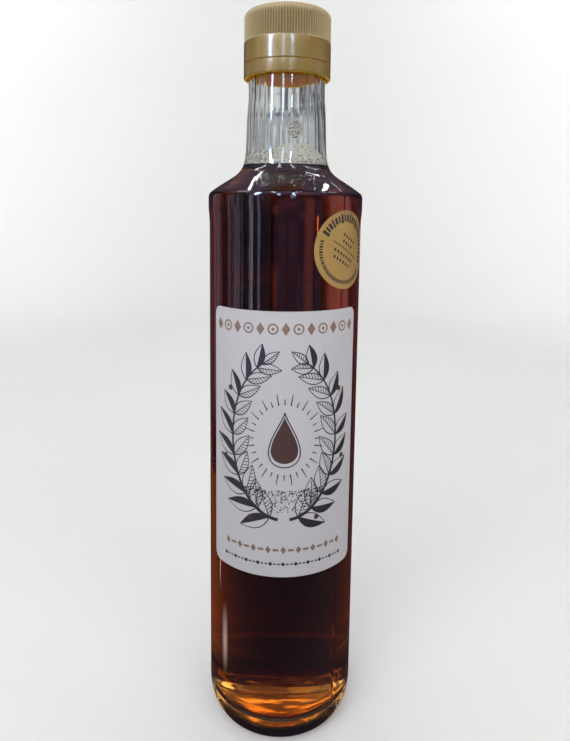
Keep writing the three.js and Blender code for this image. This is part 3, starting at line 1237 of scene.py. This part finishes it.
def cardMaterial(name, colour, strength, soft, streaks):  # a streaky glow that fades to its edges
    material, tree, glow = glowMaterial(name)
    setFinish(glow, {"Color": (*colour, 1)})
    fades = []
    for part in placeNode(tree, "Generated")[1][:2]:
        off = mathNode("ABSOLUTE", mathNode("SUBTRACT", part, 0.5), 0)
        fades.append(rampNode(off, 0.5 - soft * 0.5, 0.5, 1.0, 0.0))
    if streaks:
        noise = noiseNode(placeNode(tree)[0], (9, 1.6, 1), Detail=4.0, Roughness=0.65)
        fades.append(rampNode(noise, 0.4, 0.58, 1 - streaks, 1.0))
    link(mathNode("MULTIPLY", *fades, strength), glow.inputs["Strength"])
    return material


def neckViewMaterial():
    material, tree, glow = glowMaterial("neckViewGlow")
    place, (x, y, z) = placeNode(tree, "Generated")
    noise = noiseNode(place, neckView["blotches"], Detail=4.0, Roughness=0.55, Distortion=0.8)
    wobble = mathNode("SUBTRACT", noise, 0.5)
    leftwards = mathNode("SUBTRACT", x, 0.5)
    level = mathNode("SUBTRACT", y, neckView["line"])
    leaning = mathNode("MULTIPLY", leftwards, neckView["lineLean"])
    above = mathNode("ADD", level, leaning, mathNode("MULTIPLY", wobble, 0.22))
    paleness = mathNode("ADD", mathNode("MULTIPLY", leftwards, 2.4), mathNode("MULTIPLY", wobble, 1.8))
    upper = mixColours(rampNode(paleness, 0.06, 0.2), neckView["dull"], neckView["pale"])
    lower = mixColours(rampNode(wobble, -0.05, 0.06), neckView["dullLow"], neckView["paleLow"])
    body = mixColours(rampNode(above, -0.005, 0.005), lower, upper)
    edge = rampNode(mathNode("ABSOLUTE", above, 0), 0.014, 0.036, 0.95, 0.0)
    rim = mathNode("ABSOLUTE", mathNode("SUBTRACT", paleness, 0.08), 0)
    edge = mathNode("MAXIMUM", edge, rampNode(rim, 0.01, 0.035, 0.6, 0.0))
    link(mixColours(edge, body, neckView["edge"]), glow.inputs["Color"])
    return material


def makeStage():
    shade = [0.985 * x for x in stage["pale"]]
    matt = {"Roughness": 0.9, "Specular IOR Level": 0.1}
    pale = grainyMaterial("paleStage", (40, 3), 0, shade, stage["pale"], matt)
    floorRadius, bowlRadius, bend = stage["floorRadius"], stage["bowlRadius"], stage["bowlBend"]
    floor = turnPiece("stage_floor", [(0, 0)] + runPoints((0, 0), (floorRadius, 0), 3), 96)
    wall = [(floorRadius, 0)] + arcPoints((bowlRadius - bend, bend), bend, bend, -90, 0, 16)
    bowl = turnPiece("stage_bowl", wall + [(bowlRadius, stage["bowlHeight"]), (0, stage["bowlHeight"])], 96)
    for obj in (floor, bowl):
        obj.data.materials.append(pale)
        smoothPiece(obj, 60)
        obj.visible_glossy = obj.visible_transmission = False


def makeTableShade():  # dark from above and only for soft light, so that the label darkens towards its foot
    obj = startPiece("table_shade", bpy.ops.mesh.primitive_plane_add, size=1, location=stage["shadePlace"])
    obj.scale = (*stage["shadeSize"], 1)
    material, tree, shader = newMaterial("tableShade")
    tree.nodes.remove(shader)
    dark = addNode(tree, "ShaderNodeBsdfDiffuse", Color=(*stage["shadeColour"], 1))
    clear = tree.nodes.new("ShaderNodeBsdfTransparent")
    fromBelow = tree.nodes.new("ShaderNodeNewGeometry").outputs["Backfacing"]
    link(mixShaders(fromBelow, dark, clear), tree.nodes["Material Output"].inputs["Surface"])
    obj.data.materials.append(material)
    obj.visible_camera = obj.visible_glossy = obj.visible_transmission = obj.visible_shadow = False


def makeLamps():
    for name, (azimuth, height, distance, aim, width, tall, power) in lamps.items():
        data = bpy.data.lights.new(name, "AREA")
        data.shape, data.size, data.size_y, data.energy = "RECTANGLE", width, tall, power
        obj = addObject(data)
        reach = 0 if aim < height else 2 * distance  # wall lamps look outwards
        placeRound(obj, azimuth, height, distance, reach, aim)
        obj.visible_camera = obj.visible_glossy = obj.visible_transmission = False


def addCard(name, size, material, inGloss):
    obj = startPiece(name, bpy.ops.mesh.primitive_plane_add, size=1)
    obj.scale = (*size, 1)
    obj.data.materials.append(material)
    obj.visible_camera = obj.visible_diffuse = obj.visible_shadow = obj.visible_volume_scatter = False
    obj.visible_glossy, obj.visible_transmission = inGloss, not inGloss
    return obj


def makeCards():
    for group, inGloss in ((glossCards, True), (throughCards, False)):
        for name, (azimuth, height, distance, width, tall, *look) in group.items():
            card = addCard(name, (width, tall), cardMaterial(name + "Glow", *look), inGloss)
            placeRound(card, azimuth, height, distance, 0, height)
    view = addCard("neckView", neckView["size"], neckViewMaterial(), False)
    placeRound(view, 180, neckView["height"], neckView["distance"], 0, neckView["height"])
    for name, (place, length, width, turn, strength) in tubes.items():
        glow = cardMaterial(name + "Glow", stage["tubeColour"], strength, 0.2, 0)
        tube = addCard(name, (length, width), glow, True)
        tube.location = place
        tube.rotation_euler = (0, 0, radians(turn))


# A dim room in gloss, and through glass a bright ceiling and a pale front that darken to the back
def makeWorld():
    world = bpy.data.worlds.new("room")
    bpy.context.scene.world = world
    world.use_nodes = True
    tree = world.node_tree
    mirrored = tree.nodes["Background"]
    setFinish(mirrored, {"Color": (*stage["roomGlow"], 1)})
    seenThrough = addNode(tree, "ShaderNodeBackground", Color=(*stage["lightThrough"], 1))
    place, (x, y, z) = placeNode(tree, "Generated")

    def product(*ramps):  # each is a value and the ramp's numbers
        return mathNode("MULTIPLY", *[rampNode(*ramp) for ramp in ramps])

    mirroredGlow = product((y, -0.6, 0.6, 1.0, 0.3), (z, -0.4, 0.0, 0.6, 1.0), (z, 0.2, 0.9, 1.0, 6.0))
    room = product((y, -0.2, 0.35, stage["roomThrough"], 0.0), (z, -0.45, -0.2), (z, 0.0, 0.12, 1.0, 0.6))
    table = product((y, -0.3, 0.87, stage["tableThrough"], 0.005), (z, -0.45, -0.2, 1.0, 0.0),
                    (x, -0.5, 0.5, 0.3, 1.0), (z, -0.9, -0.75))
    noise = noiseNode(place, (4, 4, 11), Detail=1.5)
    patches = product((noise, 0.48, 0.62, -0.6, 1.5), (y, -0.1, 0.3))  # brighter and darker than the rest
    sky = mathNode("MULTIPLY", rampNode(z, 0.4, 0.48, 0.0, stage["skyThrough"]),
                   mathNode("ADD", patches, 0.9))
    link(mirroredGlow, mirrored.inputs["Strength"])
    link(mathNode("ADD", sky, table, room), seenThrough.inputs["Strength"])
    behindGlass = tree.nodes.new("ShaderNodeLightPath").outputs["Is Transmission Ray"]
    link(mixShaders(behindGlass, mirrored, seenThrough), tree.nodes["World Output"].inputs["Surface"])
    seen = world.cycles_visibility
    seen.camera = seen.diffuse = seen.scatter = False


makeStage()
makeTableShade()
makeLamps()
makeCards()
makeWorld()
bpy.context.scene.view_settings.view_transform = "Standard"
print("stage lit")

bpy.context.view_layer.update()
